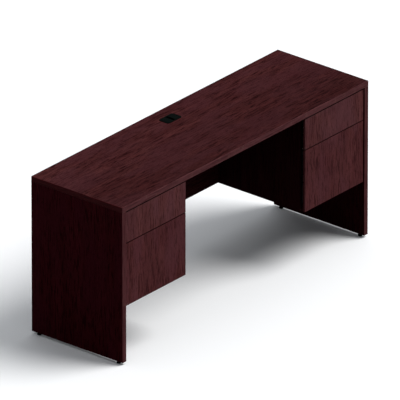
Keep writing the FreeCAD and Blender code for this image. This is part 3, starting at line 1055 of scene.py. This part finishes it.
def bumperMesh():
    radius, height = bumper["radius"], bumper["height"]
    pad = start(bpy.ops.mesh.primitive_circle_add, vertices=bumper["sides"], radius=radius, fill_type="NGON",
                location=(0.0, 0.0, 0.0))
    pullRings((0.0, 0.0), [(radius * share, height * rise) for share, rise in bumper["dome"]])
    bpy.ops.object.mode_set(mode="OBJECT")
    return pad


for side in sides:
    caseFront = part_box(side + "_case_outer_side")[0].y
    seats = []
    for kind in kinds:
        low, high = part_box(side + "_" + kind + "_drawer_front")
        across = high.x - bumper["fromEdge"] if side == "right" else low.x + bumper["fromEdge"]
        for height in (low.z + bumper["fromEnd"], high.z - bumper["fromEnd"]):
            seats.append((Vector((across, caseFront, height)), (0.0, -1.0, 0.0)))
    pad = bumperMesh()
    finished(placed(pad, seats), side + "_drawer_bumpers", "carcass", plastic)
    bpy.data.objects.remove(pad)
print("bumpers modelled")


# floor, light and camera

studio = {
    "floorReach": 220.0,
    "floorColour": srgb(255, 255, 255),
    "floorBounce": srgb(94, 94, 97),
    "horizon": 0.04,
    "horizonSoft": 0.01,
    "skyColour": srgb(246, 250, 255),
    "skyBase": 0.06,
    "skyRight": 0.69,
    "skyBack": 0.19,
    "skyFront": 0.10,
    "skyZenith": 0.90,
    "zenithPower": 6.0,
    "keyAzimuth": 43.0,
    "keyElevation": 52.5,
    "keyDistance": 4.0,
    "keyStrength": 2.56,
    "keySoftness": 34.0,
}

bpy.ops.object.select_all(action="DESELECT")
bpy.ops.mesh.primitive_plane_add(size=2 * studio["floorReach"], location=(0.0, 0.0, 0.0))
floor = bpy.context.object
floor.name = "paleFloor"
floorFinish = Finish("paleFloor")
bounce = floorFinish.node("ShaderNodeBsdfDiffuse", None, {"Color": studio["floorBounce"]})
lit = floorFinish.node("ShaderNodeBsdfDiffuse", None, {"Color": studio["floorColour"]})
upper = floorFinish.node("ShaderNodeMixShader", None, {0: floorFinish.shownRays(), 1: bounce, 2: lit})
clear = floorFinish.node("ShaderNodeBsdfTransparent")
fromBelow = floorFinish.node("ShaderNodeNewGeometry", out="Backfacing")
surface = floorFinish.node("ShaderNodeMixShader", None, {0: fromBelow, 1: upper, 2: clear})
floorFinish.plug(floorFinish.tree.nodes["Material Output"].inputs["Surface"], surface)
floorFinish.tree.nodes.remove(floorFinish.shader)
floor.data.materials.append(floorFinish.material)

world = bpy.data.worlds.new("softStudio")
world.use_nodes = True
bpy.context.scene.world = world
sky = Finish(tree=world.node_tree)
skyX, skyY, skyZ = sky.parts(sky.node("ShaderNodeTexCoord", out="Generated"))
level = studio["skyBase"] + studio["skyRight"] * skyX.most(0.0)
level = level + studio["skyBack"] * skyY.most(0.0) + studio["skyFront"] * (0.0 - skyY).most(0.0)
level = level + studio["skyZenith"] * skyZ.most(0.0) ** studio["zenithPower"]
glow = sky.mix(level, (0.0, 0.0, 0.0, 1.0), studio["skyColour"])
plain = sky.node("ShaderNodeBackground", None, {"Color": glow, "Strength": 1.0})
white = sky.node("ShaderNodeBackground", None, {"Color": studio["floorColour"], "Strength": 1.0})
belowHorizon = sky.ramp(skyZ, studio["horizon"], studio["horizon"] - studio["horizonSoft"])
shown = sky.shownRays() * belowHorizon  # the floor's white carries on past its edge
surface = sky.node("ShaderNodeMixShader", None, {0: shown, 1: plain, 2: white})
sky.plug(sky.tree.nodes["World Output"].inputs["Surface"], surface)


def facing(azimuth, elevation):
    # the way towards something seen at these angles; azimuth 0 is straight in front, and grows to the right
    turn, tilt = math.radians(azimuth), math.radians(elevation)
    return Vector((math.sin(turn) * math.cos(tilt), -math.cos(turn) * math.cos(tilt), math.sin(tilt)))


keyFrom = facing(studio["keyAzimuth"], studio["keyElevation"])
bpy.ops.object.light_add(type="SUN", location=studio["keyDistance"] * keyFrom)
key = bpy.context.object
key.name = "keyLight"
key.data.energy = studio["keyStrength"]
key.data.angle = math.radians(studio["keySoftness"])
key.rotation_euler = keyFrom.to_track_quat("Z", "Y").to_euler()

view = {
    "azimuth": -50.621,
    "elevation": 25.290,
    "fieldWidth": 1.73397,
    "aimRight": -0.00315,
    "aimUp": 0.36702,
    "lens": 1650.0,
    "sensor": 36.0,
    "clipStart": 1.0,
}

back = facing(view["azimuth"], view["elevation"])
right = facing(view["azimuth"] + 90, 0.0)
aim = right * view["aimRight"] + back.cross(right) * view["aimUp"]
distance = view["fieldWidth"] * view["lens"] / view["sensor"]
bpy.ops.object.camera_add(location=aim + back * distance)
camera = bpy.context.object
camera.rotation_euler = back.to_track_quat("Z", "Y").to_euler()
camera.data.lens = view["lens"]
camera.data.sensor_width = view["sensor"]
camera.data.clip_start = view["clipStart"]
camera.data.clip_end = distance + studio["floorReach"]
bpy.context.scene.camera = camera
bpy.context.scene.view_settings.view_transform = "Standard"
print("floor, light and camera set")
